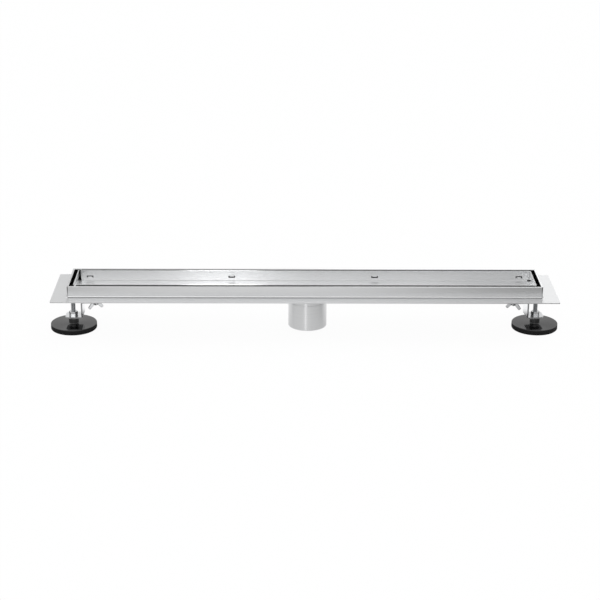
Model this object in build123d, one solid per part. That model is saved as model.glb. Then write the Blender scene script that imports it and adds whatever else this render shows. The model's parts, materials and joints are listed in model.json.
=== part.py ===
from build123d import *
import os
from math import atan2, cos, radians, sqrt, tan

# Linear shower drain: a folded steel channel with a tile-in tray, a hair strainer, a round outlet and
# two levelling feet. Millimetres, Z up, origin on the floor under the middle, the long side along X.

# Channel body, folded from one sheet: flange, hemmed rim, V trough
sheet = 1.2                 # thickness of the body's sheet
channel_length = 610.0      # outside of the raised rim
channel_width = 70.0
rim_height = 14.6           # rim above the flange
rim_corner = 1.5            # outside radius of the rim's welded corners
hem_round = 0.6             # rounding of the folded edge on top of the rim
flange_end = 20.0           # flange beyond the rim, at each end
flange_side = 18.0          # flange beyond the rim, at each side
flange_corner = 2.0
bend_radius = 2.0           # bend between flange and rim
trough_wall = 7.0           # upright trough wall below the flange's face
trough_depth = 15.0         # flange's face to the trough's underside
strip_width = 28.0          # flat strip along the bottom of the V

# Outlet pipe, welded under the trough
outlet_offset = 3.5         # the pipe stands a little to the right of the middle
outlet_diameter = 50.0
outlet_wall = 1.5
outlet_length = 35.0        # below the trough's underside
outlet_chamfer = 0.5
outlet_neck = 0.35          # how far the upper end is drawn in for its weld
outlet_neck_drop = 1.0      # drawn-in end below the trough's underside

# Hair strainer, a pressed cup whose lip lies on the trough's slopes
strainer_sheet = 0.8
strainer_lip = 52.0         # lip diameter
strainer_clearance = 1.0    # radial room in the outlet's bore
strainer_depth = 20.0
strainer_seat = 0.05        # room left between lip and slope
hole_diameter = 4.0
hole_pitch = 7.0            # from ring to ring
hole_rings = 2
ring_holes = 6              # holes in the first ring, and as many more in each next one

# Tile tray, folded from one sheet with open corner seams and lanced tabs
side_gap = 4.8              # open gap between tray and rim, along the long sides
end_gap = 5.1               # and at the ends
tray_sheet = 1.2
tray_height = 14.6
tray_sink = 0.0             # tray's edge below the rim's top
tray_bend = 2.0             # outside radius of the tray's folds
left_seam = 2.4             # the left end's corner seams were left open, the right end's are nearly shut
right_seam = 0.25
relief_radius = 1.5         # round relief hole where the folds meet
tab_length = 8.7
tab_height = 2.8
tab_slit = 1.5              # open slit round three edges of a tab
tab_drop = 8.4              # middle of the tabs below the tray's edge
tab_angle = 14.0            # tabs lean outwards
tab_inner_x = 94.0          # inner tabs from the middle of their pair
tab_inner_shift = -2.0      # that pair stands a little to the left
tab_end = 15.3              # outer tabs from the tray's end

# Tray supports, hat-shaped strips between trough and tray
support_sheet = 1.2
support_length = 16.0       # along the channel
support_top = 18.0          # across the top
support_foot = 3.6          # flat foot beyond each leg
support_bend = 1.6          # outside radius of its folds
support_inner_x = 94.0      # inner pair from the middle
support_end = 37.0          # outer pair from the rim's end

# Foot brackets, bent to a Z: arm under the trough, web, foot plate over the pad
bracket_sheet = 2.0
bracket_rise = 24.0         # underside of the foot plate to the top of the arm
bracket_bend = 3.0          # outside radius of its folds
bracket_width = 25.0        # arm and web
plate_width = 21.0          # foot plate, narrower than the web
plate_taper = 6.0           # height over which the web narrows to the plate
plate_end = 10.0            # plate beyond the rod's axis
plate_corner = 5.0
arm_end = 11.0              # arm beyond the stud's axis
arm_corner = 4.0
web_end = 14.0              # outer face of the web from the rim's end
rod_end = 2.5               # axis of the threaded rod from the rim's end
stud_end = 32.0             # axis of the weld stud from the rim's end
slot_travel = 8.0           # slot in the arm, along the channel, beyond the stud
foot_turn = 5.0             # the right foot was left turned a little about its stud

# Clamp under the trough: weld stud, washer, wing nut
stud_diameter = 4.0
stud_room = 0.2             # radial room in slot and washer
washer_diameter = 10.0
washer_thickness = 0.9
wing_boss_base = 8.0        # boss diameter against the washer
wing_boss_tip = 6.8
wing_boss_height = 4.8
wing_span = 20.0
wing_height = 10.4
wing_thickness = 1.9
wing_tip_radius = 1.7
wing_root_radius = 2.3
wing_turn = 27.0            # angle that the wings were left at
stud_proud = 1.0            # stud beyond the nut
stud_chamfer = 0.4

# Levelling foot: pad with a neck, threaded rod, lock nut
pad_diameter = 60.0
pad_thickness = 7.0
pad_round = 1.2             # rounding of the pad's upper edge
pad_chamfer = 0.6           # chamfer of its lower edge
neck_diameter = 13.0
neck_fillet = 1.0
foot_plate_z = 16.0         # underside of the foot plate above the floor
neck_room = 0.3             # neck below the foot plate when screwed right in
groove_inner = 28.0         # anti-slip groove under the pad
groove_outer = 44.0
groove_depth = 1.0
rod_diameter = 6.0
rod_seat = 4.0              # lower end of the rod above the floor
rod_headroom = 3.0          # top of the rod below the trough
rod_chamfer = 0.6
thread_room = 0.05          # radial running room of rod and stud in their threads
nut_width = 10.0            # across flats
nut_height = 5.0
nut_crown = 30.0            # angle at which the nut's corners are turned off

# Levels and half sizes that follow from the sizes above
plate_top = foot_plate_z + bracket_sheet
trough_under = foot_plate_z + bracket_rise
trough_floor = trough_under + sheet
flange_top = trough_under + trough_depth
rim_top = flange_top + rim_height
half_length = channel_length / 2
half_width = channel_width / 2
trough_half = half_width - sheet
strip_half = strip_width / 2
slope_angle = atan2(trough_depth - trough_wall, trough_half - strip_half)
slope_shift = sheet / cos(slope_angle)
inner_half_length = half_length - 2 * sheet
inner_half_width = half_width - 2 * sheet
tray_length = 2 * (inner_half_length - end_gap)
tray_width = 2 * (inner_half_width - side_gap)
tray_top = rim_top - tray_sink
tray_under = tray_top - tray_height
tab_outer_x = tray_length / 2 - tab_end
support_outer_x = half_length - support_end
web_x = half_length - web_end
foot_x = half_length - rod_end
stud_x = half_length - stud_end
stud_axis = Axis((stud_x, 0, 0), (0, 0, 1))
outlet_radius = outlet_diameter / 2
bore_radius = outlet_radius - outlet_wall
rod_top = trough_under - rod_headroom
rod_hole = rod_diameter / 2 + thread_room
stud_hole = stud_diameter / 2 + thread_room
arm_under = trough_under - bracket_sheet
washer_under = arm_under - washer_thickness
spare = 5.0                 # how far cutting shapes run past what they cut


def trough_profile(inset, top):
    """V trough seen along its length, moved inwards by inset and carried up to top."""
    shift = inset / cos(slope_angle)
    wall = trough_half - inset
    strip = strip_half + (inset - shift) / tan(slope_angle)
    knee = trough_under + shift + (wall - strip_half) * tan(slope_angle)
    right = [(strip, trough_under + inset), (wall, knee), (wall, top)]
    left = [(-y, z) for y, z in reversed(right)]
    return Plane.YZ * make_face(Polyline(*right, *left, close=True))


def folded(points, radii, thickness, side):
    """Section of a strip folded along points, its thickness laid on one side of the line."""
    line = FilletPolyline(*points, radius=radii)
    return make_face(offset(line, amount=thickness, side=side, closed=True))


def upright(radius, bottom, top):
    """Round bar on the Z axis from bottom to top."""
    return Pos(0, 0, bottom) * Cylinder(radius, top - bottom, align=(Align.CENTER, Align.CENTER, Align.MIN))


def channel_body():
    """Flange, hemmed rim and V trough in one sheet, with the outlet's hole in the bottom."""
    under = flange_top - sheet
    flange_size = (channel_length + 2 * flange_end, channel_width + 2 * flange_side)
    flange = Pos(0, 0, under) * extrude(RectangleRounded(*flange_size, flange_corner), sheet)
    rim_outline = RectangleRounded(channel_length, channel_width, rim_corner)
    rim = Pos(0, 0, under) * extrude(rim_outline, rim_top - under)
    trough = extrude(trough_profile(0, flange_top), half_length - sheet, both=True)
    hollow = extrude(trough_profile(sheet, rim_top + spare), inner_half_length, both=True)
    hole = Pos(outlet_offset, 0) * upright(bore_radius, trough_under - spare, rim_top)
    body = flange + rim + trough - hollow - hole

    folds = body.edges().filter_by_position(Axis.Z, flange_top, flange_top)
    folds = [e for e in folds if abs(e.center().X) <= half_length and abs(e.center().Y) <= half_width]
    body = fillet(folds, bend_radius)
    hems = body.edges().filter_by_position(Axis.Z, rim_top, rim_top)
    return fillet(hems, hem_round)


def outlet_spigot():
    """Pipe whose upper end is drawn in a little and cut to the trough's V."""
    shoulder = trough_under - outlet_neck_drop
    pipe = upright(outlet_radius, trough_under - outlet_length, shoulder)
    pipe += upright(outlet_radius - outlet_neck, shoulder, flange_top)
    pipe -= upright(bore_radius, trough_under - outlet_length - spare, flange_top + spare)
    pipe = chamfer(pipe.edges().group_by(Axis.Z)[0], outlet_chamfer)
    pipe = Pos(outlet_offset, 0) * pipe
    return pipe - extrude(trough_profile(0, flange_top + spare), half_length, both=True)


def hair_strainer():
    """Pressed cup with a flat lip, its bottom drilled in rings."""
    lip = strainer_lip / 2
    slope_at_lip = trough_under + slope_shift + (lip - strip_half) * tan(slope_angle)
    seat = slope_at_lip + strainer_seat
    wall = bore_radius - strainer_clearance
    floor = seat - strainer_depth
    inside = wall - strainer_sheet
    profile = Polyline(
        (0, floor), (wall, floor), (wall, seat), (lip, seat), (lip, seat + strainer_sheet),
        (inside, seat + strainer_sheet), (inside, floor + strainer_sheet), (0, floor + strainer_sheet),
        close=True,
    )
    cup = revolve(Plane.XZ * make_face(profile), Axis.Z)
    drill = upright(hole_diameter / 2, floor - spare, floor + spare)
    cup -= drill
    for ring in range(1, hole_rings + 1):
        for spot in PolarLocations(ring * hole_pitch, ring * ring_holes):
            cup -= spot * drill
    return Pos(outlet_offset, 0) * cup


def tray_block(inset, top):
    """Solid tray shape moved inwards by inset, its lower folds rounded, carried up to top."""
    under = tray_under + inset

    def end_view(span):
        outline = Pos(0, (under + top) / 2) * Rectangle(span - 2 * inset, top - under)
        return fillet(outline.vertices().group_by(Axis.Y)[0], tray_bend - inset)

    along = extrude(Plane.YZ * end_view(tray_width), tray_length / 2 - inset, both=True)
    across = extrude(Plane.XZ * end_view(tray_length), tray_width / 2 - inset, both=True)
    return along & across


def lanced_tab(hinge_up):
    """Slot to cut and tab to leave in the back wall at x 0: the tab hangs by one long edge, leaning out."""
    wall_mid = (tray_width - tray_sheet) / 2
    middle = tray_top - tab_drop
    slot = Pos(0, wall_mid, middle) * Box(tab_length, tray_sheet + spare, tab_height)
    root = tray_sheet / 2
    reach = tab_height - tab_slit
    tab = Pos(0, 0, (reach - root) / 2) * Box(tab_length - 2 * tab_slit, tray_sheet, reach + root)
    tab = Rot(-tab_angle, 0, 0) * tab
    if hinge_up:
        tab = mirror(tab, about=Plane.XY)
    edge = middle + tab_height / 2 if hinge_up else middle - tab_height / 2
    return slot, Pos(0, wall_mid, edge) * tab


def tile_tray():
    """Open tray for a tile: walls folded up, open corner seams, lanced tabs in the long walls."""
    tray = tray_block(0, tray_top) - tray_block(tray_sheet, tray_top + spare)
    corner_x = tray_length / 2 - tray_sheet
    corner_y = tray_width / 2 - tray_sheet
    tray_floor = tray_under + tray_sheet
    relief = upright(relief_radius, tray_under - spare, tray_floor + relief_radius)
    relief_x = corner_x - relief_radius
    for end, seam in ((-1, left_seam), (1, right_seam)):
        cut = Pos(end * (corner_x - seam / 2), corner_y, tray_floor) * Box(
            seam, tray_sheet + spare, tray_height, align=(Align.CENTER, Align.MIN, Align.MIN)
        )
        corner_cut = cut + Pos(end * relief_x, corner_y) * relief
        tray = tray - corner_cut - mirror(corner_cut, about=Plane.XZ)
    for apart, shift, hinge_up in ((tab_inner_x, tab_inner_shift, True), (tab_outer_x, 0, False)):
        slot, tab = lanced_tab(hinge_up)
        for x in (shift - apart, shift + apart):
            tray = tray - Pos(x, 0) * slot + Pos(x, 0) * tab
            tray = tray - Pos(x, 0) * mirror(slot, about=Plane.XZ) + Pos(x, 0) * mirror(tab, about=Plane.XZ)
    return tray


def tray_support():
    """Hat-shaped strip at x 0: feet on the trough's flat strip, top under the tray."""
    leg = support_top / 2
    foot = leg + support_foot
    foot_top = trough_floor + support_sheet
    line = [(-foot, foot_top), (-leg, foot_top), (-leg, tray_under), (leg, tray_under)]
    line += [(leg, foot_top), (foot, foot_top)]
    inside = support_bend - support_sheet
    section = folded(line, [inside, support_bend, support_bend, inside], support_sheet, Side.RIGHT)
    return extrude(Plane.YZ * section, support_length / 2, both=True)


def foot_bracket():
    """Z bracket of the right foot: slotted arm, web that narrows downwards, rounded foot plate."""
    inside = bracket_bend - bracket_sheet
    line = [(stud_x - arm_end, trough_under), (web_x, trough_under)]
    line += [(web_x, plate_top), (foot_x + plate_end, plate_top)]
    section = folded(line, [bracket_bend, inside], bracket_sheet, Side.RIGHT)
    strip = extrude(Plane.XZ * section, bracket_width / 2, both=True)

    wide = bracket_width / 2
    narrow = plate_width / 2
    right = [(narrow, foot_plate_z - spare), (narrow, plate_top), (wide, plate_top + plate_taper)]
    right += [(wide, trough_under + spare)]
    left = [(-y, z) for y, z in reversed(right)]
    outline = Plane.YZ * make_face(Polyline(*right, *left, close=True))
    strip &= Pos(web_x, 0) * extrude(outline, 2 * foot_x, both=True)

    uprights = strip.edges().filter_by(Axis.Z).sort_by(Axis.X)
    strip = fillet(uprights[:2], arm_corner)
    uprights = strip.edges().filter_by(Axis.Z).sort_by(Axis.X)
    strip = fillet(uprights[-2:], plate_corner)

    slot_width = stud_diameter + 2 * stud_room
    slot = SlotCenterToCenter(slot_travel, slot_width)
    strip -= Pos(stud_x, 0, arm_under - spare) * extrude(slot, bracket_sheet + 2 * spare)
    return strip - Pos(foot_x, 0) * upright(rod_hole, foot_plate_z - spare, plate_top + spare)


def weld_stud():
    """Stud welded under the trough, reaching through arm, washer and wing nut."""
    lowest = washer_under - wing_boss_height - stud_proud
    stud = upright(stud_diameter / 2, lowest, trough_under)
    stud = chamfer(stud.edges().group_by(Axis.Z)[0], stud_chamfer)
    return Pos(stud_x, 0) * stud


def stud_washer():
    """Flat washer between the arm and the wing nut."""
    ring = upright(washer_diameter / 2, washer_under, arm_under)
    ring -= upright(stud_diameter / 2 + stud_room, washer_under - spare, arm_under + spare)
    return Pos(stud_x, 0) * ring


def wing_nut():
    """Wing nut with its base against the washer and both wings pointing down."""
    base = (Align.CENTER, Align.CENTER, Align.MIN)
    nut = Cone(wing_boss_base / 2, wing_boss_tip / 2, wing_boss_height, align=base)
    tip = Pos(wing_span / 2 - wing_tip_radius, wing_height - wing_tip_radius) * Circle(wing_tip_radius)
    root = Pos(wing_boss_tip / 2 - wing_thickness / 2, wing_boss_height / 2) * Circle(wing_root_radius)
    blade = extrude(Plane.XZ * make_hull((tip + root).edges()), wing_thickness / 2, both=True)
    nut += blade + mirror(blade, about=Plane.YZ)
    nut -= upright(stud_hole, -spare, wing_height + spare)
    return Pos(stud_x, 0, washer_under) * Rot(180, 0, wing_turn) * nut


def lock_nut():
    """Hexagon nut on the foot plate, its corners turned off on both faces."""
    corner = nut_width / sqrt(3)
    hexagon = extrude(RegularPolygon(corner, 6), nut_height)
    turned = upright(corner, 0, nut_height)
    crown = corner - nut_width / 2
    turned = chamfer(turned.edges().filter_by(GeomType.CIRCLE), crown * tan(radians(nut_crown)), crown)
    nut = (hexagon & turned) - upright(rod_hole, -spare, nut_height + spare)
    return Pos(foot_x, 0, plate_top) * nut


def threaded_rod():
    """Rod of the levelling foot, its lower end held in the pad."""
    rod = upright(rod_diameter / 2, rod_seat, rod_top)
    rod = chamfer(rod.edges().group_by(Axis.Z)[-1], rod_chamfer)
    return Pos(foot_x, 0) * rod


def foot_pad():
    """Round moulded pad with a neck round the rod and an anti-slip groove underneath."""
    rim = pad_diameter / 2
    neck = neck_diameter / 2
    neck_top = foot_plate_z - neck_room
    profile = Polyline(
        (0, 0), (rim, 0), (rim, pad_thickness), (neck, pad_thickness), (neck, neck_top), (0, neck_top),
        close=True,
    )
    pad = revolve(Plane.XZ * make_face(profile), Axis.Z)
    circles = pad.edges().filter_by(GeomType.CIRCLE)
    top_edge = circles.filter_by_position(Axis.Z, pad_thickness, pad_thickness).sort_by(SortBy.RADIUS)
    pad = fillet(top_edge[-1], pad_round)
    circles = pad.edges().filter_by(GeomType.CIRCLE)
    neck_root = circles.filter_by_position(Axis.Z, pad_thickness, pad_thickness).sort_by(SortBy.RADIUS)
    pad = fillet(neck_root[0], neck_fillet)
    pad = chamfer(pad.edges().filter_by(GeomType.CIRCLE).group_by(Axis.Z)[0], pad_chamfer)
    groove = upright(groove_outer / 2, -spare, groove_depth) - upright(groove_inner / 2, -spare, spare)
    pad -= groove
    pad -= upright(rod_hole, rod_seat, neck_top + spare)
    return Pos(foot_x, 0) * pad


os.makedirs("parts", exist_ok=True)
nodes = {
    "channel_body": channel_body(),
    "outlet_spigot": outlet_spigot(),
    "hair_strainer": hair_strainer(),
    "tile_tray": tile_tray(),
}
support = tray_support()
for name, x in (("inner", support_inner_x), ("outer", support_outer_x)):
    nodes[f"left_{name}_tray_support"] = Pos(-x, 0) * support
    nodes[f"right_{name}_tray_support"] = Pos(x, 0) * support
for piece in (weld_stud, stud_washer, wing_nut):
    nodes[f"right_{piece.__name__}"] = piece()
    nodes[f"left_{piece.__name__}"] = mirror(piece(), about=Plane.YZ)
for piece in (foot_bracket, lock_nut, threaded_rod, foot_pad):
    nodes[f"right_{piece.__name__}"] = piece().rotate(stud_axis, foot_turn)
    nodes[f"left_{piece.__name__}"] = mirror(piece(), about=Plane.YZ)
for name, solid in nodes.items():
    export_step(solid, f"parts/{name}.step")
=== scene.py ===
# %% [markdown]
# # A linear shower drain
#
# The drain is a folded steel channel with a tray inside that takes a tile, a pipe underneath and two
# levelling feet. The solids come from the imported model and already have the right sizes, so they are
# loaded first and never changed. What is left for Blender is what a solid can't show well: threads, cast
# and moulded shapes, the weld, and the finishes.

# %% Load the solids
import json
import math

import bmesh
import bpy
from mathutils import Matrix, Vector


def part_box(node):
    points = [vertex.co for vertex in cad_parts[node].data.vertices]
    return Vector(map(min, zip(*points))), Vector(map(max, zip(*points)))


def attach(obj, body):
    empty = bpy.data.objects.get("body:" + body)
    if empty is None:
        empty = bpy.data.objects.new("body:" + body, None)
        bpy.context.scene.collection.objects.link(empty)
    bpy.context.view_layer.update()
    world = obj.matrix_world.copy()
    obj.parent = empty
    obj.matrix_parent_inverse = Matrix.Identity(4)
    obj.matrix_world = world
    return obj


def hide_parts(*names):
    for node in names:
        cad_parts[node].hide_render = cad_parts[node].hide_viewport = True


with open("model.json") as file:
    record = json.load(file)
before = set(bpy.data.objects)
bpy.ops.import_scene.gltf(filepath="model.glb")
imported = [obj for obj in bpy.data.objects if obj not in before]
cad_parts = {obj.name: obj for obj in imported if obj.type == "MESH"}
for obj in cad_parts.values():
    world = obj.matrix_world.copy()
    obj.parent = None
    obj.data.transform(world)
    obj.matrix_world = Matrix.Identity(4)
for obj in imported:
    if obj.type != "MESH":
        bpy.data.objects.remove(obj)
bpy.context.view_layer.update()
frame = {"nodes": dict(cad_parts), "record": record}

mm = 0.001


def in_mm(lengths):
    """Lengths in metres as rounded millimetres, to print them."""
    return [round(v / mm, 2) for v in lengths]


# %% [markdown]
# ## The camera
#
# The camera stands where the photograph was taken from: about two metres in front, looking down by a
# little over twenty degrees. Its place was found by fitting the corners of the flange and the rim, the
# pipe and the pads. A long lens is right here, because the two ends of the flange hardly narrow towards
# the back.

# %% Camera
drain_middle = Vector((0.0, 0.0, 0.05))
camera_place = Vector((-0.02416, -1.97180, 0.7799))
camera_turn = math.radians(0.519)
camera_down = math.radians(20.6)
camera_roll = math.radians(0.279)

camera_lens = bpy.data.cameras.new("camera")
camera_lens.lens = 96.79
camera_lens.sensor_width = 36.0
camera = bpy.data.objects.new("camera", camera_lens)
bpy.context.collection.objects.link(camera)
camera.matrix_world = (
    Matrix.Translation(camera_place)
    @ Matrix.Rotation(-camera_turn, 4, "Z")
    @ Matrix.Rotation(math.pi / 2 - camera_down, 4, "X")
    @ Matrix.Rotation(camera_roll, 4, "Z")
)
bpy.context.scene.camera = camera
bpy.context.scene.view_settings.view_transform = "Standard"
print("camera", round((camera_place - drain_middle).length, 3), "m from the drain")

# %% [markdown]
# ## Node helpers
#
# Every finish below is a small tree of nodes. The first two helpers add a node with its values and join
# an output to an input. The next ones stand for the few sums that come up again and again, so that a cell
# further down reads like a recipe: split a place into its axes, compare it with a limit, map one range to
# another.

# %% Helpers for node trees
def add_node(tree, kind, **values):
    """Add a node and set its attributes, or its sockets where the name is a socket's."""
    node = tree.nodes.new(kind)
    for key, value in values.items():
        if hasattr(node, key):
            setattr(node, key, value)
        else:
            node.inputs[key.replace("_", " ")].default_value = value
    return node


def join(tree, source, output, target, socket):
    """Join one node's output to another node's input."""
    tree.links.new(source.outputs[output], target.inputs[socket])


def axes_of(tree, source, output):
    """Split a place or a direction into X, Y and Z."""
    axes = add_node(tree, "ShaderNodeSeparateXYZ")
    join(tree, source, output, axes, 0)
    return axes


def length_of(tree, source, output):
    """Length of a vector, at the output Value."""
    length = add_node(tree, "ShaderNodeVectorMath", operation="LENGTH")
    join(tree, source, output, length, 0)
    return length


def without_sign(tree, source, output):
    """Size of a value, whichever way it points."""
    size = add_node(tree, "ShaderNodeMath", operation="ABSOLUTE")
    join(tree, source, output, size, 0)
    return size


def with_number(tree, source, output, operation, number):
    """A value worked with a fixed number, such as a limit that it is compared with."""
    node = add_node(tree, "ShaderNodeMath", operation=operation)
    join(tree, source, output, node, 0)
    node.inputs[1].default_value = number
    return node


def combine(tree, operation, *nodes):
    """The first outputs of several nodes worked into one value, one after the other."""
    last = nodes[0]
    for node in nodes[1:]:
        both = add_node(tree, "ShaderNodeMath", operation=operation)
        join(tree, last, 0, both, 0)
        join(tree, node, 0, both, 1)
        last = both
    return last


def map_range(tree, source, output, low, high, at_low, at_high, curve="SMOOTHSTEP"):
    """One range of a value turned into another."""
    node = add_node(
        tree, "ShaderNodeMapRange", interpolation_type=curve,
        From_Min=low, From_Max=high, To_Min=at_low, To_Max=at_high,
    )
    join(tree, source, output, node, "Value")
    return node


print("node helpers ready")

# %% [markdown]
# ## Who is looking
#
# The renderer can tell what kind of ray has hit a surface: one from the camera, one that a shiny face
# sent on, or one that gathers light for a dull face. So the camera may see a white room while the steel
# mirrors a grey one. The first helper asks for the kind of ray, and the second one shows one shader or
# another by the answer.

# %% Helpers for kinds of ray
def seen_rays(tree, *kinds):
    """One where a ray comes from any of the named kinds of path, and zero elsewhere."""
    path = add_node(tree, "ShaderNodeLightPath")
    last, output = path, kinds[0]
    for kind in kinds[1:]:
        either = add_node(tree, "ShaderNodeMath", operation="MAXIMUM")
        join(tree, last, output, either, 0)
        join(tree, path, kind, either, 1)
        last, output = either, "Value"
    return last, output


def mix_shaders(tree, share, output, first, second):
    """The first shader where the share is zero, and the second where it is one."""
    mixed = add_node(tree, "ShaderNodeMixShader")
    join(tree, share, output, mixed, 0)
    join(tree, first, 0, mixed, 1)
    join(tree, second, 0, mixed, 2)
    return mixed


print("ray helpers ready")

# %% [markdown]
# ## The room
#
# The photograph has a pure white background, so the camera sees a white world. The metal sees another
# room: grey low down, a soft band of light above that, dark overhead, and a little dimmer to the right.
# Steel only looks like steel when it has light and dark to reflect, and a bend shows the whole band as
# one thin bright line beside a dark one. Dull surfaces get a plain, even light.

# %% World
plain_white = (1.0, 1.0, 1.0, 1.0)

room = bpy.data.worlds.new("room")
bpy.context.scene.world = room
room.use_nodes = True
tree = room.node_tree
tree.nodes.clear()

direction = add_node(tree, "ShaderNodeTexCoord")
way = axes_of(tree, direction, "Generated")
level = add_node(tree, "ShaderNodeValToRGB")
level.color_ramp.interpolation = "EASE"
grey_at_height = ((0.42, 0.52), (0.56, 1.0), (0.75, 1.0), (0.92, 0.20))
for position, grey in grey_at_height:
    stop = level.color_ramp.elements.new(position)
    stop.color = (grey, grey, grey, 1.0)
level.color_ramp.elements.remove(level.color_ramp.elements[0])
level.color_ramp.elements.remove(level.color_ramp.elements[-1])
join(tree, way, "Z", level, 0)
sideways = map_range(tree, way, "X", 0.05, 0.35, 1.33, 1.05)

mirrored = add_node(tree, "ShaderNodeBackground")
join(tree, level, "Color", mirrored, "Color")
join(tree, sideways, "Result", mirrored, "Strength")
dull = add_node(tree, "ShaderNodeBackground", Color=plain_white, Strength=0.70)
white = add_node(tree, "ShaderNodeBackground", Color=plain_white, Strength=1.0)
room_light = mix_shaders(tree, *seen_rays(tree, "Is Glossy Ray"), dull, mirrored)
room_seen = mix_shaders(tree, *seen_rays(tree, "Is Camera Ray", "Is Transmission Ray"), room_light, white)
room_out = add_node(tree, "ShaderNodeOutputWorld")
join(tree, room_seen, 0, room_out, "Surface")
print("world", len(tree.nodes), "nodes")

# %% [markdown]
# ## The floor
#
# The floor is a plain pale sheet. It is part dull surface, which keeps the drain's soft shadow, and part
# white glow for the camera and for reflections. In reflections the glow is strongest in a pool in front
# of the drain, which is what the upright rim mirrors, and it is shaded round the feet, because the black
# pads take light away there. The sheet lets a little of what is behind it through to the camera, so a
# foot that is screwed out in another pose can still be made out below floor level.

# %% Floor
pool_middle = (-0.09, -0.12, 0.0)
pool_shape = (1.0, 0.85, 1.0)
pad_low, pad_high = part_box("left_foot_pad")
foot_reach = -(pad_low.x + pad_high.x) / 2

bpy.ops.object.select_all(action="DESELECT")
bpy.ops.mesh.primitive_plane_add(size=16.0)
floor = bpy.context.object
floor.name = "floor"

paper = bpy.data.materials.new("floor_paper")
paper.use_nodes = True
tree = paper.node_tree
tree.nodes.clear()
place = add_node(tree, "ShaderNodeTexCoord")
axes = axes_of(tree, place, "Object")

pool_at = add_node(tree, "ShaderNodeMapping", vector_type="TEXTURE", Location=pool_middle, Scale=pool_shape)
join(tree, place, "Object", pool_at, "Vector")
fading = map_range(tree, length_of(tree, pool_at, "Vector"), "Value", 0.08, 0.50, 0.10, 0.66)
in_front = map_range(tree, axes, "Y", 0.06, -0.02, 0.0, 1.0)
pool_shade = combine(tree, "MULTIPLY", fading, in_front)

foot_at = add_node(tree, "ShaderNodeCombineXYZ")
join(tree, with_number(tree, without_sign(tree, axes, "X"), 0, "SUBTRACT", foot_reach), 0, foot_at, "X")
join(tree, axes, "Y", foot_at, "Y")
foot_shade = map_range(tree, length_of(tree, foot_at, "Vector"), "Value", 0.045, 0.080, 0.92, 0.0)

deepest = combine(tree, "MAXIMUM", pool_shade, foot_shade)
mirrored_shade = add_node(tree, "ShaderNodeMath", operation="MULTIPLY")
join(tree, *seen_rays(tree, "Is Glossy Ray"), mirrored_shade, 0)
join(tree, deepest, 0, mirrored_shade, 1)
glow = add_node(tree, "ShaderNodeMath", operation="SUBTRACT")
glow.inputs[0].default_value = 1.0
join(tree, mirrored_shade, 0, glow, 1)

sheet_dull = add_node(tree, "ShaderNodeBsdfDiffuse", Color=(0.92, 0.92, 0.92, 1.0))
sheet_glow = add_node(tree, "ShaderNodeEmission", Color=plain_white)
sheet_clear = add_node(tree, "ShaderNodeBsdfTransparent", Color=plain_white)
join(tree, glow, 0, sheet_glow, "Strength")
by_eye_or_mirror = seen_rays(tree, "Is Camera Ray", "Is Glossy Ray", "Is Transmission Ray")
glow_share = with_number(tree, *by_eye_or_mirror, "MULTIPLY", 0.94)
clear_share = with_number(tree, *seen_rays(tree, "Is Camera Ray"), "MULTIPLY", 0.35)
lit = mix_shaders(tree, glow_share, 0, sheet_dull, sheet_glow)
shown = mix_shaders(tree, clear_share, 0, lit, sheet_clear)
paper_out = add_node(tree, "ShaderNodeOutputMaterial")
join(tree, shown, 0, paper_out, "Surface")
floor.data.materials.append(paper)
print("floor", floor.dimensions.x, "m wide")

# %% [markdown]
# ## The lamps
#
# A very wide overhead lamp lights the dull faces and is kept out of reflections. A large soft box behind
# the camera, a little to its left, fills the front. Four more lamps are each linked to the one piece that
# they are for, as cards would shade them off in a studio. Two narrow ones, in front and behind, put a
# bright patch into the tray left of the middle. A box behind the drain whitens the rim's top and the
# flange towards the right, and a low strip draws the one thin line of light on the pipe. Without the
# links the black pads would turn grey and the bend would show a spot.

# %% Lamps
def new_lamp(name, kind, power):
    """Lamp, and the object that holds it."""
    lamp = bpy.data.lights.new(name, kind)
    lamp.energy = power
    holder = bpy.data.objects.new(name, lamp)
    bpy.context.collection.objects.link(holder)
    return lamp, holder


def soft_box(name, place, aim, width, height, watts, only=None):
    """Rectangular soft lamp that faces a point, and may light one solid alone."""
    lamp, holder = new_lamp(name, "AREA", watts)
    lamp.shape = "RECTANGLE"
    lamp.size = width
    lamp.size_y = height
    holder.location = place
    holder.rotation_euler = (Vector(aim) - Vector(place)).to_track_quat("-Z", "Y").to_euler()
    holder.visible_camera = False
    if only:
        lit_alone = bpy.data.collections.new(f"lit_by_{name}")
        lit_alone.objects.link(frame["nodes"][only])
        holder.light_linking.receiver_collection = lit_alone


overhead, overhead_holder = new_lamp("overhead", "SUN", 1.1)
overhead.angle = math.radians(60)
overhead_holder.rotation_euler = (math.radians(-12), math.radians(20), 0)
overhead_holder.visible_glossy = False
soft_box("front_box", (-0.26, -2.20, 0.90), drain_middle, 1.40, 1.20, 2.6)
soft_box("front_core", (-0.20, -2.18, 0.80), drain_middle, 0.20, 1.00, 1.3, "tile_tray")
soft_box("back_core", (-0.20, 2.20, 0.85), drain_middle, 0.20, 1.00, 2.1, "tile_tray")
soft_box("back_box", (0.66, 2.05, 0.85), (0.25, 0, 0.05), 1.20, 0.90, 2.6, "channel_body")
soft_box("low_strip", (-0.225, -1.20, 0.10), (0, 0, 0.03), 0.08, 0.20, 0.65, "outlet_spigot")
print("lamps", [lamp.name for lamp in bpy.data.lights])

# %% [markdown]
# ## What the finishes share
#
# All metals and the plastic are built alike: a noise on the piece's own coordinates, two close tones that
# the noise blends, and a relief so faint that it is only seen where light grazes the surface. A surface
# that is one flat colour looks like a drawing, and these three steps are the least that makes it look
# like a material.

# %% Helpers for finishes
def new_finish(name):
    """New material with its node tree and its shader."""
    material = bpy.data.materials.new(name)
    material.use_nodes = True
    tree = material.node_tree
    return material, tree, tree.nodes["Principled BSDF"]


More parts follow.
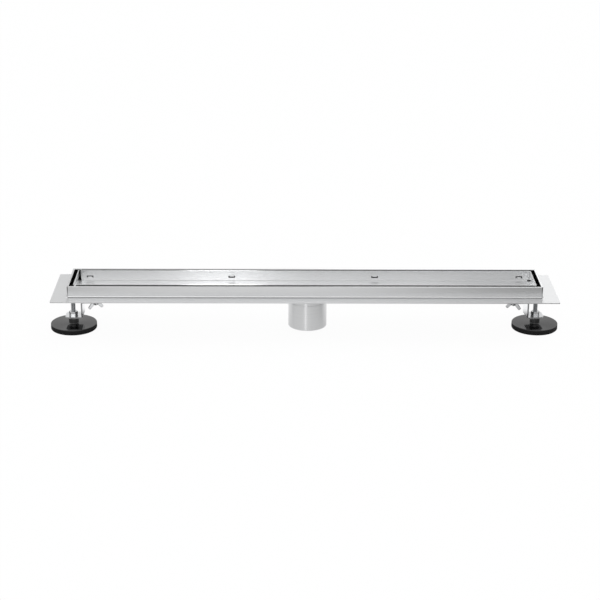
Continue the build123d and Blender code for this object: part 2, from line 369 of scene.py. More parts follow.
def shaded(colour, share):
    """Colour made darker or lighter."""
    return [min(1.0, c * share) for c in colour]


def add_noise(tree, source, output, scale, detail, roughness):
    """Noise on a place."""
    noise = add_node(tree, "ShaderNodeTexNoise", Scale=scale, Detail=detail, Roughness=roughness)
    join(tree, source, output, noise, "Vector")
    return noise


def two_tones(tree, noise, dark, light, start=0.0, end=1.0):
    """Blend of two colours, driven by a noise."""
    tone = add_node(tree, "ShaderNodeValToRGB")
    for stop, position, colour in zip(tone.color_ramp.elements, (start, end), (dark, light)):
        stop.position = position
        stop.color = (*colour, 1.0)
    join(tree, noise, 0, tone, 0)
    return tone


def darkened(tree, tone, share, dark):
    """A tone that gives way to a dark colour where the share is one."""
    mixed = add_node(tree, "ShaderNodeMix", data_type="RGBA", B=(*dark, 1.0))
    join(tree, share, 0, mixed, "Factor")
    join(tree, tone, "Color", mixed, "A")
    return mixed


def add_relief(tree, noise, shader, strength, distance):
    """Faint bump that follows a noise."""
    relief = add_node(tree, "ShaderNodeBump", Strength=strength, Distance=distance)
    join(tree, noise, 0, relief, "Height")
    join(tree, relief, "Normal", shader, "Normal")


print("finish helpers ready")

# %% [markdown]
# ## Satin sheet steel
#
# The channel, the tray and their small parts are stainless sheet with a satin finish: fine scratches that
# all run along the drain. Noise that is stretched along X gives the scratches, and it drives colour,
# roughness and a faint bump, so each scratch also catches light. Brushed metal spreads a highlight across
# its scratches, which is what the anisotropy is for; the tangent that goes round the X axis points across
# the scratches on every long face.

# %% Brushed steel, by the direction of its scratches
def brushed_steel(
    name, colour, stretch, spread_axis, turn, roughness, spread, painted_shade_part=None, coarse_part=None,
):
    """Steel with scratches along a stretched noise; some parts may carry painted shade, and some may be
    coarser.
    """
    material, tree, shader = new_finish(name)
    shader.inputs["Metallic"].default_value = 1.0
    shader.inputs["Anisotropic"].default_value = spread
    shader.inputs["Anisotropic Rotation"].default_value = turn

    place = add_node(tree, "ShaderNodeTexCoord")
    scratches_at = add_node(tree, "ShaderNodeMapping", Scale=stretch)
    join(tree, place, "Object", scratches_at, "Vector")
    scratches = add_noise(tree, scratches_at, "Vector", 1.0, 3.0, 0.6)
    bands = add_noise(tree, scratches_at, "Vector", 0.12, 2.0, 0.5)

    tone = two_tones(tree, scratches, shaded(colour, 0.96), shaded(colour, 1.04), 0.30, 0.72)
    # Where the mask is one, the steel is painted at a fifth of its colour: painted shade.
    if painted_shade_part:
        painted_shade_tone = darkened(tree, tone, painted_shade_part(tree, place), shaded(colour, 0.20))
        join(tree, painted_shade_tone, "Result", shader, "Base Color")
    else:
        join(tree, tone, "Color", shader, "Base Color")

    grit = combine(tree, "ADD", scratches, bands)
    rough = map_range(tree, grit, 0, 0.6, 1.4, roughness - 0.02, roughness + 0.02, "LINEAR")
    if coarse_part:
        rough = combine(tree, "ADD", rough, coarse_part(tree, place))
    join(tree, rough, 0, shader, "Roughness")
    add_relief(tree, scratches, shader, 0.012, 0.0002)

    spread_way = add_node(tree, "ShaderNodeTangent", direction_type="RADIAL", axis=spread_axis)
    join(tree, spread_way, "Tangent", shader, "Tangent")
    return material


sheet_colour = (0.735, 0.740, 0.745)
along_drain = (1.6, 2400.0, 2400.0)
satin_steel = brushed_steel(
    "satin_sheet_steel", sheet_colour, along_drain, "X", turn=0.0, roughness=0.26, spread=0.5,
)
print("made", satin_steel.name)

# %% [markdown]
# ## Painted shade, and parts of the sheet with another finish
#
# The inside of the trough below the rim, and the tray's outer faces that look into the narrow gap, are
# painted dark: painted shade, which is why the gap reads as a black line. The rim's corners carry a
# painted dark line, darker towards the top, that stands in for the dark reflection in their rounded
# bends. The flange and the tray's floor are brushed more coarsely, since they end up under tiles, so the
# flange mirrors the rim only close to the bend, and the floor hardly mirrors the tabs. Each part is
# marked by its place: simple comparisons on the object's own coordinates, multiplied together.

# %% Places on the sheet
# Lengths that the boxes of the solids don't tell
sheet = 1.2 * mm
flange_end = 20.0 * mm
flange_side = 18.0 * mm
rim_height = 14.6 * mm
bend_height = 0.6 * mm
hem_top = 1.1 * mm
hem_middle = 1.9 * mm
# Size and reach of the painted dark reflection at the rim's corners
dark_corner_along = 1.4 * mm
dark_corner_across = 1.0 * mm
end_margin = 0.1 * mm
dark_corner_foot = 2.0 * mm
dark_corner_head = 4.0 * mm
fold_start = 0.2 * mm
fold_end = 1.0 * mm
strip_half = 14.0 * mm
v_depth = 8.0 * mm

channel_low, channel_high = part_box("channel_body")
tray_low, tray_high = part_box("tile_tray")
rim_end = channel_high.x - flange_end
rim_side = channel_high.y - flange_side
rim_top = channel_high.z
flange_level = rim_top - rim_height
tray_floor_level = tray_low.z + sheet
slope = v_depth / (rim_side - sheet - strip_half)
print("rim", in_mm((rim_end, rim_side, rim_top)), "slope of the V", round(slope, 3))

# %% [markdown]
# ## Masks for those places
#
# A mask is one where its part is and zero elsewhere. The drain is the same on both sides of its middle,
# so the distance from the middle does for two walls at once. The V needs one more step: its rise at each
# distance is taken off the height first, so that one limit tells the sheet's upper face from its lower
# face all the way across.

# %% Painted shade and finishes by place
def from_middle(tree, place):
    """Axes of a place, and its distance from the drain's middle along X and along Y."""
    axes = axes_of(tree, place, "Object")
    return axes, without_sign(tree, axes, "X"), without_sign(tree, axes, "Y")


def painted_corner_reflection(tree, axes, along, across):
    """Painted dark line at the rim's corners, standing in for the dark reflection in their rounded bends,
    darker towards the top.
    """
    near_end = with_number(tree, along, 0, "GREATER_THAN", rim_end - dark_corner_along)
    before_end = with_number(tree, along, 0, "LESS_THAN", rim_end + end_margin)
    near_side = with_number(tree, across, 0, "GREATER_THAN", rim_side - dark_corner_across)
    on_rim = with_number(tree, axes, "Z", "GREATER_THAN", flange_level + bend_height)
    # Painted reflection: the dark line is strongest near the top of the rim and weaker towards the flange.
    reflection_fade = map_range(tree, axes, "Z", flange_level + dark_corner_foot, rim_top - dark_corner_head, 0.30, 0.95)
    return combine(tree, "MULTIPLY", near_end, before_end, near_side, on_rim, reflection_fade)


def channel_painted_shade(tree, place):
    """Painted shade on the inside faces of the trough below the rim, and the painted dark line at the rim's
    corners.
    """
    axes, along, across = from_middle(tree, place)
    beyond_strip = with_number(tree, across, 0, "SUBTRACT", strip_half)
    slope_rise = with_number(tree, beyond_strip, 0, "MULTIPLY", slope)
    rise = with_number(tree, slope_rise, 0, "MAXIMUM", 0.0)
    height = add_node(tree, "ShaderNodeMath", operation="SUBTRACT")
    join(tree, axes, "Z", height, 0)
    join(tree, rise, 0, height, 1)
    above_sheet = with_number(tree, height, 0, "GREATER_THAN", channel_low.z + sheet / 2)
    below_rim = with_number(tree, axes, "Z", "LESS_THAN", rim_top - hem_top)
    within_ends = with_number(tree, along, 0, "LESS_THAN", rim_end - hem_middle)
    within_sides = with_number(tree, across, 0, "LESS_THAN", rim_side - hem_middle)
    # Painted shade inside the trough below the rim, where the narrow gap looks in.
    inside = combine(tree, "MULTIPLY", above_sheet, below_rim, within_ends, within_sides)
    # The painted dark reflection at the rim's corners is added to the painted shade.
    return combine(tree, "MAXIMUM", inside, painted_corner_reflection(tree, axes, along, across))


def coarse_flange(tree, place):
    """Added roughness on the flange, none from the bend upwards."""
    axes = axes_of(tree, place, "Object")
    return map_range(tree, axes, "Z", flange_level, flange_level + bend_height, 0.16, 0.0)


def tray_painted_shade(tree, place):
    """Painted shade on the outer faces of the tray, below its edge."""
    axes = axes_of(tree, place, "Object")
    along = without_sign(tree, axes, "X")
    past_ends = with_number(tree, along, 0, "GREATER_THAN", tray_high.x - sheet / 4)
    under = with_number(tree, axes, "Z", "LESS_THAN", tray_low.z + sheet / 2)
    below_edge = with_number(tree, axes, "Z", "LESS_THAN", tray_high.z - sheet / 2)
    # Painted shade on the tray's ends and underside.
    return combine(tree, "MULTIPLY", combine(tree, "MAXIMUM", past_ends, under), below_edge)


def coarse_tray(tree, place):
    """Added roughness on the tray's floor, none from its fold upwards."""
    axes = axes_of(tree, place, "Object")
    low, high = tray_floor_level + fold_start, tray_floor_level + fold_end
    return map_range(tree, axes, "Z", low, high, 0.08, 0.0)


tray_colour = (0.80, 0.805, 0.81)
# The channel and the tray carry painted shade where their masks mark it.
channel_steel_painted_shade = brushed_steel(
    "channel_steel_painted_shade", sheet_colour, along_drain, "X", turn=0.0, roughness=0.22, spread=0.5,
    painted_shade_part=channel_painted_shade, coarse_part=coarse_flange,
)
tray_steel_painted_shade = brushed_steel(
    "tray_steel_painted_shade", tray_colour, along_drain, "X", turn=0.0, roughness=0.20, spread=0.95,
    painted_shade_part=tray_painted_shade, coarse_part=coarse_tray,
)
print("made", channel_steel_painted_shade.name, tray_steel_painted_shade.name)

# %% [markdown]
# ## The pipe's steel
#
# The outlet is welded tube. It was polished while it turned, so its scratches run round it and its
# highlight is drawn out up and down. The same tree does, with the noise squeezed along Z and the tangent
# turned by a quarter.

# %% Pipe steel
pipe_colour = (0.66, 0.665, 0.67)
round_pipe = (12.0, 12.0, 1500.0)
pipe_steel = brushed_steel(
    "polished_pipe_steel", pipe_colour, round_pipe, "Z", turn=0.25, roughness=0.30, spread=0.85,
)
print("made", pipe_steel.name)

# %% [markdown]
# ## Bright zinc
#
# The brackets, nuts and washers are mild steel with a bright zinc coat. It is lighter than the stainless
# sheet, with no direction in it: only a fine grain and faint clouds where the bath left the coat thicker.
# The brackets are a lighter copy of the coat, painted light, and the edges where a bracket's strip was
# sheared, which look forwards and backwards, are greyer: painted shade. The wing nuts are a darker copy
# of the coat, painted shade, and on both kinds of nut the flanks that look sideways are painted dark, and
# the threads are painted dark all over, both as painted shade. The way a face looks tells which it is,
# so its normal along one axis is compared with a limit.

# %% Zinc
def zinc_coat(name, colour, roughness, painted_shade_axis=None, beyond=1.0, dark=1.0):
    """Bright zinc plating; faces that look along one axis beyond a limit may get painted shade and more
    roughness.
    """
    material, tree, shader = new_finish(name)
    shader.inputs["Metallic"].default_value = 1.0
    place = add_node(tree, "ShaderNodeTexCoord")
    clouds = add_noise(tree, place, "Object", 60.0, 4.0, 0.6)
    grain = add_noise(tree, place, "Object", 2500.0, 2.0, 0.5)
    tone = two_tones(tree, clouds, shaded(colour, 0.95), shaded(colour, 1.04), 0.30, 0.70)
    rough = map_range(tree, clouds, 0, 0.3, 0.7, roughness - 0.04, roughness + 0.06, "LINEAR")

    # Painted shade: faces that look along the axis beyond the limit get a darker colour.
    if painted_shade_axis:
        facing = axes_of(tree, place, "Normal")
        either_way = without_sign(tree, facing, painted_shade_axis)
        side_face = with_number(tree, either_way, 0, "GREATER_THAN", beyond)
        darker = darkened(tree, tone, side_face, shaded(colour, dark))
        join(tree, darker, "Result", shader, "Base Color")
        rough = combine(tree, "ADD", rough, with_number(tree, side_face, 0, "MULTIPLY", 0.30))
    else:
        join(tree, tone, "Color", shader, "Base Color")
    join(tree, rough, 0, shader, "Roughness")
    add_relief(tree, grain, shader, 0.05, 0.0001)
    return material


# The brackets are a lighter copy of the coat, painted light; the nuts' copies are darker, painted shade.
zinc_plate = zinc_coat("bright_zinc", (0.86, 0.87, 0.88), 0.20)
bracket_zinc_painted_light_and_shade = zinc_coat("bracket_zinc_painted_light_and_shade", (0.93, 0.94, 0.95), 0.20, "Y", beyond=0.85, dark=0.50)
wing_nut_zinc_painted_shade = zinc_coat("wing_nut_zinc_painted_shade", (0.76, 0.77, 0.78), 0.14, "X", beyond=0.60, dark=0.12)
hexagon_zinc_painted_shade = zinc_coat("hexagon_zinc_painted_shade", (0.84, 0.85, 0.86), 0.10, "X", beyond=0.55, dark=0.20)
# The threads' darker colour is painted shade.
zinc_thread = zinc_coat("zinc_on_threads_painted_shade", (0.46, 0.47, 0.48), 0.08)
print("made", zinc_plate.name, bracket_zinc_painted_light_and_shade.name, wing_nut_zinc_painted_shade.name, hexagon_zinc_painted_shade.name, zinc_thread.name)

# %% [markdown]
# ## Black moulded plastic
#
# The pads are glossy black mouldings. A clean polished mould leaves an almost smooth skin, so the colour
# hardly changes, and a very faint, broad unevenness in the surface makes the reflections waver as they do
# on the real thing.

# %% Black plastic
black_plastic, tree, shader = new_finish("black_moulding")
shader.inputs["Specular IOR Level"].default_value = 1.0
place = add_node(tree, "ShaderNodeTexCoord")
flow = add_noise(tree, place, "Object", 90.0, 2.0, 0.5)
speck = add_noise(tree, place, "Object", 1800.0, 2.0, 0.5)
tone = two_tones(tree, speck, (0.004, 0.004, 0.0045), (0.009, 0.009, 0.0095))
join(tree, tone, "Color", shader, "Base Color")
rough = map_range(tree, speck, 0, 0.0, 1.0, 0.06, 0.16, "LINEAR")
join(tree, rough, 0, shader, "Roughness")
add_relief(tree, flow, shader, 0.10, 0.0004)
print("made", black_plastic.name)

# %% [markdown]
# ## Dressing the solids
#
# Every solid gets the finish that its record names. The record lists each node with its material slot, so
# one loop over that list dresses them all. The channel, the tray and the brackets have a version of their
# own.

# %% Finishes on the solids
finishes = {
    "satin_steel": satin_steel, "pipe_steel": pipe_steel, "black_plastic": black_plastic,
    "zinc_plate": zinc_plate, "zinc_thread": zinc_thread,
}
slot_of = {entry["node"]: entry["material_slot"] for entry in frame["record"]["subparts"]}
own_finish = {"channel_body": channel_steel_painted_shade, "tile_tray": tray_steel_painted_shade}
own_finish.update({f"{side}_foot_bracket": bracket_zinc_painted_light_and_shade for side in ("left", "right")})
for node_name, node in frame["nodes"].items():
    node.data.materials.clear()
    node.data.materials.append(own_finish.get(node_name, finishes[slot_of[node_name]]))
print("dressed", len(slot_of), "solids")

# %% [markdown]
# ## Helpers for modelling
#
# The pieces below are modelled as one would by hand: add a primitive, go into edit mode, pick faces or
# points, and push them about. Picking with the mouse becomes picking by place, which the second helper
# does. The others draw a path, clean a piece up, and add a modifier and apply it at once.

# %% Helpers for modelling
# How near a point counts as being at a place, and how near two points count as one
touch = 0.1 * mm
doubled = 0.004 * mm


def take(piece):
    """Select one piece and nothing else."""
    bpy.ops.object.select_all(action="DESELECT")
    bpy.context.view_layer.objects.active = piece
    piece.select_set(True)


def pick(test, what="faces"):
    """In edit mode, select the faces, edges or points whose middle passes the test, and nothing else."""
    mode = {"faces": "FACE", "verts": "VERT", "edges": "EDGE"}[what]
    bpy.ops.mesh.select_mode(type=mode)
    bpy.ops.mesh.select_all(action="DESELECT")
    mesh = bpy.context.object.data
    edit = bmesh.from_edit_mesh(mesh)
    for part in getattr(edit, what):
        middle = part.co if what == "verts" else sum((v.co for v in part.verts), Vector()) / len(part.verts)
        if test(middle):
            part.select_set(True)
    edit.select_flush_mode()
    bmesh.update_edit_mesh(mesh)


def drawn_path(places):
    """New piece, left in edit mode: one point that is extruded from place to place, each given as x and z."""
    bpy.ops.object.select_all(action="DESELECT")
    bpy.ops.mesh.primitive_plane_add(size=mm)
    piece = bpy.context.object
    bpy.ops.object.mode_set(mode="EDIT")
    bpy.ops.mesh.select_mode(type="VERT")
    bpy.ops.mesh.select_all(action="SELECT")
    bpy.ops.mesh.merge(type="CENTER")
    bpy.ops.transform.translate(value=(places[0][0], 0, places[0][1]))
    for (x0, z0), (x1, z1) in zip(places, places[1:]):
        bpy.ops.mesh.extrude_vertices_move(TRANSFORM_OT_translate={"value": (x1 - x0, 0, z1 - z0)})
    return piece


def close_up():
    """Merge doubled points, turn the faces outwards and leave edit mode."""
    bpy.ops.mesh.select_all(action="SELECT")
    bpy.ops.mesh.remove_doubles(threshold=doubled)
    bpy.ops.mesh.normals_make_consistent(inside=False)
    bpy.ops.object.mode_set(mode="OBJECT")


def use(piece, kind, **values):
    """Add a modifier, set it and apply it."""
    take(piece)
    modifier = piece.modifiers.new(kind.lower(), kind)
    for key, value in values.items():
        setattr(modifier, key, value)
    bpy.ops.object.modifier_apply(modifier=modifier.name)


print("modelling helpers ready")

# %% [markdown]
# ## Standing for a solid
#
# Each new piece takes the place of one solid: it lies where the solid lies, rides on the same body when
# the drain is posed, and the solid is hidden. The two feet mirror each other, so most pieces are
# modelled once and the mirror copy goes to the other foot. A mirrored mesh is inside out, which is why
# the copy has its faces turned outwards again. The number of open edges is printed, because a closed
# shell is what a solid piece needs.

# %% Helpers for pieces
def open_edges(piece):
    """Number of edges that don't join exactly two faces; a closed shell has none."""
    take(piece)
    bpy.ops.object.mode_set(mode="EDIT")
    bpy.ops.mesh.select_mode(type="EDGE")
    bpy.ops.mesh.select_all(action="DESELECT")
    bpy.ops.mesh.select_non_manifold()
    bpy.ops.object.mode_set(mode="OBJECT")
    return f"open edges {sum(edge.select for edge in piece.data.edges)}"


def finish_piece(piece, name, angle, finish):
    """Name a finished piece, smooth it up to an angle and give it its finish."""
    take(piece)
    bpy.ops.object.shade_smooth_by_angle(angle=math.radians(angle))
    piece.name = name
    piece.data.name = name
    piece.data.materials.clear()
    piece.data.materials.append(finish)


def settle(piece, name, slot, node_name, angle, finish=None):
    """Put a piece's place into its mesh, finish it, and let it stand for its solid."""
    take(piece)
    bpy.ops.object.transform_apply(location=True, rotation=True, scale=True)
    finish_piece(piece, name, angle, finish or finishes[slot])
    body = next(b for b, nodes in frame["record"]["behaviour"]["bodies"].items() if node_name in nodes)
    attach(piece, body)
    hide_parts(node_name)
    low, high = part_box(node_name)
    print(name, in_mm(piece.dimensions), "solid", in_mm(high - low), open_edges(piece))


def axis_of(node_name):
    """Middle of a solid in plan."""
    low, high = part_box(node_name)
    return (low.x + high.x) / 2, (low.y + high.y) / 2


def twin(piece, node_name, turn=0.0):
    """Mirror copy of a piece, with its own mesh, on the axis of another solid and turned about it."""
    take(piece)
    bpy.ops.object.duplicate(linked=False)
    copy = bpy.context.object
    copy.scale.x = -1.0
    bpy.ops.object.transform_apply(location=False, rotation=False, scale=True)
    copy.rotation_euler.z = turn
    copy.location.x, copy.location.y = axis_of(node_name)
    bpy.ops.object.mode_set(mode="EDIT")
    close_up()
    return copy


def settle_pair(left, name, slot, part, angle):
    """Set a piece on its left solid, copy it for the right one, and settle both."""
    left.location.x, left.location.y = axis_of(f"left_{part}")
    right = twin(left, f"right_{part}")
    settle(right, f"right_{name}", slot, f"right_{part}", angle)
    settle(left, f"left_{name}", slot, f"left_{part}", angle)


print("piece helpers ready")

# %% [markdown]
# ## Threads
#
# The levelling rods are M6 and have a cut thread. A thread is one tooth of the profile carried up a
# helix. The tooth is drawn by extruding a point from place to place, the Screw modifier winds it up, and
# two flat cuts with their caps filled in take it to length. Reaching past both ends before cutting leaves
# clean ends, and the cap is drawn in for the chamfer that starts the thread. The tooth starts at an odd
# fraction of a turn, and the cut has a fine threshold, so that no point of the helix lies on a cut and
# each cap is one clean face.

# %% Threaded bars
steps_per_turn = 28
same_point = 0.002 * mm
cut_threshold = 0.0001 * mm
on_cut = 0.001 * mm
chamfer_taper = (0.80, 0.80, 1.0)
# Lengths on the thread as shares of its pitch
thread_depth = 0.61
odd_start = 2 + 3.4 / steps_per_turn
chamfer_length = 0.75


def threaded_bar(radius, pitch, low, high, chamfered):
    """Bar with a helical thread on the Z axis from low to high, with a chamfer at the lower or upper end."""
    root = radius - thread_depth * pitch
    start = low - odd_start * pitch
    tooth = ((root, 0.0), (root, 0.15), (radius, 0.45), (radius, 0.60), (root, 0.90), (root, 1.0))
    bar = drawn_path([(x, start + share * pitch) for x, share in tooth])
    bpy.ops.object.mode_set(mode="OBJECT")
    turns = math.ceil((high - low) / pitch) + 4
    use(
        bar, "SCREW", axis="Z", angle=math.tau, screw_offset=pitch, iterations=turns, steps=steps_per_turn,
        render_steps=steps_per_turn, use_merge_vertices=True, merge_threshold=same_point,
    )
    bpy.ops.object.mode_set(mode="EDIT")
    bpy.ops.mesh.select_all(action="SELECT")
    bpy.ops.mesh.remove_doubles(threshold=same_point)
    for end, way in ((low, -1), (high, 1)):
        inset = chamfer_length * pitch if way == chamfered else 0.0
        cut = end - way * inset
        bpy.ops.mesh.select_all(action="SELECT")
        bpy.ops.mesh.bisect(
            plane_co=(0, 0, cut), plane_no=(0, 0, way), use_fill=True, clear_outer=True,
            threshold=cut_threshold,
        )
        if inset:
            pick(lambda p: abs(p.z - cut) < on_cut)
            bpy.ops.mesh.extrude_region_move(TRANSFORM_OT_translate={"value": (0, 0, way * inset)})
            bpy.ops.transform.resize(value=chamfer_taper, center_override=(0, 0, end))
    close_up()
    return bar


rod_radius = 2.97 * mm
rod_pitch = 1.0 * mm
rod_low, rod_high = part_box("left_threaded_rod")
left_rod = threaded_bar(rod_radius, rod_pitch, rod_low.z, rod_high.z, chamfered=1)
settle_pair(left_rod, "rod_thread", "zinc_thread", "threaded_rod", 28)

# %% [markdown]
# ## Studs
#
# Each bracket hangs on a stud that is welded under the trough. It is the same kind of bar with a finer
# thread, M4, so it needs no new tools. Only its lower end, where the nut goes on, has a chamfer; the
# other end is in the weld.

# %% Studs
stud_radius = 1.98 * mm
stud_pitch = 0.7 * mm
stud_low, stud_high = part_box("left_weld_stud")
left_stud = threaded_bar(stud_radius, stud_pitch, stud_low.z, stud_high.z, chamfered=-1)
settle_pair(left_stud, "stud_thread", "zinc_thread", "weld_stud", 28)

# %% [markdown]
# ## Foot pads
#
# Each pad is a round moulding, so half of its section is drawn once and spun about the rod's axis. The
# corners are rounded on the drawing before it is spun: that is less work than bevelling rings afterwards,
# and every round is smooth.

# %% Pads
round_steps = 6


def rounded_path(corners):
    """Path whose corners carry a radius, each corner given as x, z and radius in millimetres."""
    points = []
    for index, (x, z, radius) in enumerate(corners):
        here = Vector((x, z))
        if radius == 0:
            points.append(here)
            continue
        back = (Vector(corners[index - 1][:2]) - here).normalized()
        ahead = (Vector(corners[index + 1][:2]) - here).normalized()
        half = back.angle(ahead) / 2
        middle = here + (back + ahead).normalized() * (radius / math.sin(half))
        start = here + back * (radius / math.tan(half)) - middle
        end = here + ahead * (radius / math.tan(half)) - middle
        for step in range(round_steps + 1):
            points.append(middle + start.slerp(end, step / round_steps).normalized() * radius)
    return [(point.x * mm, point.y * mm) for point in points]


# Half of the pad's section, in millimetres
pad_radius = 30.0
pad_top = 7.0
groove_inside = 13.8
groove_outside = 22.2
groove_depth = 1.0
groove_draft = 0.4
neck_radius = 6.5
neck_top = pad_high.z / mm
hole_radius = 3.05
hole_floor = 4.0
pad_section = rounded_path([
    (0, 0, 0),
    (groove_inside, 0, 0.3), (groove_inside + groove_draft, groove_depth, 0.2),
    (groove_outside - groove_draft, groove_depth, 0.2), (groove_outside, 0, 0.3),
    (pad_radius - 0.6, 0, 0.5), (pad_radius, 0.8, 0.5), (pad_radius, pad_top, 0.6),
    (neck_radius, pad_top, 1.0), (neck_radius, neck_top, 0.6), (hole_radius + 0.35, neck_top, 0.2),
    (hole_radius, neck_top - 0.4, 0.1), (hole_radius, hole_floor, 0), (0, hole_floor, 0),
])
left_pad = drawn_path(pad_section)
bpy.ops.mesh.select_all(action="SELECT")
bpy.ops.mesh.spin(steps=96, angle=math.tau, center=(0, 0, 0), axis=(0, 0, 1))
close_up()
settle_pair(left_pad, "pad_moulding", "black_plastic", "foot_pad", 35)

# %% [markdown]
# ## Joining and drilling
#
# A Boolean adds one closed shape to another, takes it away, or keeps what both share. It leaves one clean
# shell, which pieces that are only pushed into each other don't have. The shape that is used as a tool is
# deleted afterwards.

# %% Helpers for Booleans
through = 30 * mm


def join_solid(base, tool, operation):
    """Boolean of two closed pieces; the tool is used up."""
    use(base, "BOOLEAN", operation=operation, object=tool, solver="EXACT")
    bpy.data.objects.remove(tool)


def drill(piece, radius, sides):
    """Hole along the Z axis, through the whole piece."""
    bpy.ops.object.select_all(action="DESELECT")
    bpy.ops.mesh.primitive_cylinder_add(vertices=sides, radius=radius, depth=through)
    join_solid(piece, bpy.context.object, "DIFFERENCE")


print("Boolean helpers ready, drill", in_mm([through]), "mm long")

# %% [markdown]
# ## Wings
#
# A wing nut is cast, so nothing on it is sharp. Each wing is a flat plate that leans outwards: a block is
# tapered, its far end is rounded by bevelling the two end edges, all other edges get a small bevel, and
# the plate is turned to its lean. The second wing is a copy, turned half way round.

# %% Wings
wing_width = 4.6 * mm
wing_thickness = 2.3 * mm
wing_length = 11.0 * mm
wing_root = (2.2 * mm, 0, 1.3 * mm)
wing_lean = math.radians(40)
wing_taper = (0.78, 0.85, 1.0)
tip_round = 1.3 * mm
cast_round = 0.35 * mm
sharp_angle = math.radians(40)


def wing_plate():
    """One wing along +X, its root in the boss, its tip up and out."""
    bpy.ops.object.select_all(action="DESELECT")
    bpy.ops.mesh.primitive_cube_add(size=1.0)
    plate = bpy.context.object
    bpy.ops.object.mode_set(mode="EDIT")
    bpy.ops.transform.resize(value=(wing_width, wing_thickness, wing_length))
    bpy.ops.transform.translate(value=(0, 0, wing_length / 2))
    pick(lambda p: p.z > wing_length - touch)
    bpy.ops.transform.resize(value=wing_taper, center_override=(0, 0, wing_length))
    pick(lambda p: p.z > wing_length - touch and abs(p.x) > wing_width / 4, "edges")
    bpy.ops.mesh.bevel(offset=tip_round, segments=5, affect="EDGES")
    bpy.ops.object.mode_set(mode="OBJECT")
    use(plate, "BEVEL", width=cast_round, segments=3, limit_method="ANGLE", angle_limit=sharp_angle)
    plate.rotation_euler.y = wing_lean
    plate.location = wing_root
    bpy.ops.object.transform_apply(location=True, rotation=True, scale=False)
    return plate


def second_plate(plate):
    """Copy of a wing turned half way round the boss."""
    take(plate)
    bpy.ops.object.duplicate(linked=False)
    other = bpy.context.object
    other.rotation_euler.z = math.pi
    bpy.ops.object.transform_apply(location=False, rotation=True, scale=False)
    return other


wing = wing_plate()
other_wing = second_plate(wing)
print("wing", in_mm(wing.dimensions))

# %% [markdown]
# ## Wing nuts
#
# The nut's boss is a cylinder whose top is drawn in and rounded. A Boolean union makes boss and wings one
# shell, and another Boolean drills the hole for the thread.

# %% Wing nut
boss_radius = 4.0 * mm
boss_height = 4.8 * mm
boss_taper = (0.85, 0.85, 1.0)
boss_round = 0.45 * mm
stud_hole = 2.0 * mm

bpy.ops.object.select_all(action="DESELECT")
bpy.ops.mesh.primitive_cylinder_add(
    vertices=40, radius=boss_radius, depth=boss_height, location=(0, 0, boss_height / 2),
)
wing_nut = bpy.context.object
bpy.ops.object.transform_apply(location=True)
bpy.ops.object.mode_set(mode="EDIT")
pick(lambda p: p.z > boss_height - touch)
bpy.ops.transform.resize(value=boss_taper, center_override=(0, 0, boss_height))
bpy.ops.mesh.bevel(offset=boss_round, segments=4, affect="EDGES")
bpy.ops.object.mode_set(mode="OBJECT")
join_solid(wing_nut, wing, "UNION")
join_solid(wing_nut, other_wing, "UNION")
drill(wing_nut, stud_hole, 32)
print("wing nut", len(wing_nut.data.polygons), "faces", in_mm(wing_nut.dimensions))

# %% [markdown]
# ## Wing nuts in place
#
# The nut was modelled the way it would stand on a bench. Under the bracket it hangs upside down, with its
# wings as the hand that tightened it left them, so it is turned over and a little sideways before it goes
# up to the bracket. The other foot gets its mirror copy.

# %% Wing nuts in place
wing_turn = math.radians(-27)
nut_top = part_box("right_wing_nut")[1].z
wing_nut.rotation_euler = (math.pi, 0, wing_turn)
wing_nut.location = (*axis_of("right_weld_stud"), nut_top)
take(wing_nut)
bpy.ops.object.transform_apply(location=False, rotation=True, scale=False)
left_wing_nut = twin(wing_nut, "left_weld_stud")
settle(wing_nut, "right_wing_nut_cast", "zinc_plate", "right_wing_nut", 40, wing_nut_zinc_painted_shade)
settle(left_wing_nut, "left_wing_nut_cast", "zinc_plate", "left_wing_nut", 40, wing_nut_zinc_painted_shade)

# %% [markdown]
# ## Lock nuts
#
# A hexagon nut is cut from bar and turned on both faces, which leaves curved lines where the corners are
# taken off. The honest way to get those curves is the real one: a hexagon and a turned disc are made, and
# only what both share is kept.

# %% Lock nut
nut_low, nut_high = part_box("left_lock_nut")
nut_height = nut_high.z - nut_low.z
flat = (nut_high.y - nut_low.y) / 2
corner = (nut_high.x - nut_low.x) / 2
crown = 0.42 * mm
crown_taper = (0.87, 0.87, 1.0)
corner_turn = math.radians(30)
corner_round = 0.25 * mm
rod_hole = 3.0 * mm

bpy.ops.object.select_all(action="DESELECT")
bpy.ops.mesh.primitive_cylinder_add(vertices=6, radius=corner, depth=nut_height, rotation=(0, 0, corner_turn))
lock_nut = bpy.context.object
bpy.ops.object.transform_apply(rotation=True)
bpy.ops.object.mode_set(mode="EDIT")
pick(lambda p: math.hypot(p.x, p.y) > flat * 0.99 and abs(p.z) < touch, "edges")
bpy.ops.mesh.bevel(offset=corner_round, segments=3, affect="EDGES")
bpy.ops.object.mode_set(mode="OBJECT")

bpy.ops.object.select_all(action="DESELECT")
bpy.ops.mesh.primitive_cylinder_add(vertices=72, radius=corner * 1.001, depth=nut_height - 2 * crown)
turned = bpy.context.object
bpy.ops.object.mode_set(mode="EDIT")
for way in (-1, 1):
    face_z = way * (nut_height / 2 - crown)
    pick(lambda p: abs(p.z - face_z) < touch)
    bpy.ops.mesh.extrude_region_move(TRANSFORM_OT_translate={"value": (0, 0, way * crown)})
    bpy.ops.transform.resize(value=crown_taper, center_override=(0, 0, way * nut_height / 2))
close_up()
join_solid(lock_nut, turned, "INTERSECT")
drill(lock_nut, rod_hole, 40)

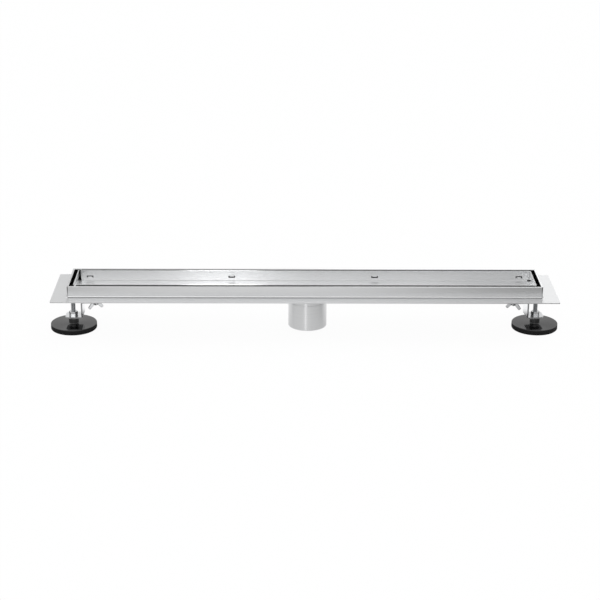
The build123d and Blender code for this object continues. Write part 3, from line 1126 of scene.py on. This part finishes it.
lock_nut.location = (*axis_of("left_lock_nut"), (nut_low.z + nut_high.z) / 2)
stud_x, stud_y = axis_of("right_weld_stud")
rod_x, rod_y = axis_of("right_threaded_rod")
foot_turn = math.atan2(rod_y - stud_y, rod_x - stud_x)
right_lock_nut = twin(lock_nut, "right_lock_nut", foot_turn)
settle(lock_nut, "left_lock_nut_turned", "zinc_plate", "left_lock_nut", 25, hexagon_zinc_painted_shade)
settle(right_lock_nut, "right_lock_nut_turned", "zinc_plate", "right_lock_nut", 25, hexagon_zinc_painted_shade)

# %% [markdown]
# ## The weld round the outlet
#
# The pipe is welded to the underside of the V, so the bead rises where the sheet rises. A ring is added
# round the pipe, and a notch is drawn in at regular steps, because a weld is laid down in overlapping
# scales. Then each side beyond the flat strip is turned up about the fold line to the sheet's slope, and
# stretched so that it still goes round the pipe.

# %% Weld bead
pipe_low, pipe_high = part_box("outlet_spigot")
pipe_axis = (pipe_low.x + pipe_high.x) / 2
pipe_radius = (pipe_high.y - pipe_low.y) / 2
bead_radius = 1.05 * mm
bead_sunk = 0.1 * mm
bead_drop = 0.2 * mm
notch_depth = 0.12 * mm
scales = 64
scale_turn = math.tau / scales

bpy.ops.object.select_all(action="DESELECT")
bpy.ops.mesh.primitive_torus_add(
    major_segments=4 * scales, minor_segments=10,
    major_radius=pipe_radius - bead_sunk, minor_radius=bead_radius,
)
bead = bpy.context.object
bpy.ops.object.mode_set(mode="EDIT")
pick(lambda p: abs(math.remainder(math.atan2(p.y, p.x), scale_turn)) < 0.1 * scale_turn, "verts")
bpy.ops.transform.shrink_fatten(value=-notch_depth)
for side in (-1, 1):
    fold = (0, side * strip_half, 0)
    pick(lambda p: side * p.y > strip_half, "verts")
    bpy.ops.transform.rotate(value=-side * math.atan(slope), orient_axis="X", center_override=fold)
    bpy.ops.transform.resize(value=(1.0, math.hypot(1.0, slope), 1.0), center_override=fold)
bpy.ops.mesh.select_all(action="SELECT")
bpy.ops.transform.translate(value=(pipe_axis, 0, channel_low.z - bead_drop))
close_up()
finish_piece(bead, "outlet_weld_bead", 40, satin_steel)
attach(bead, "drain")
heights = [v.co.z for v in bead.data.vertices]
print("weld bead, from and to in mm", in_mm((min(heights), max(heights))), open_edges(bead))
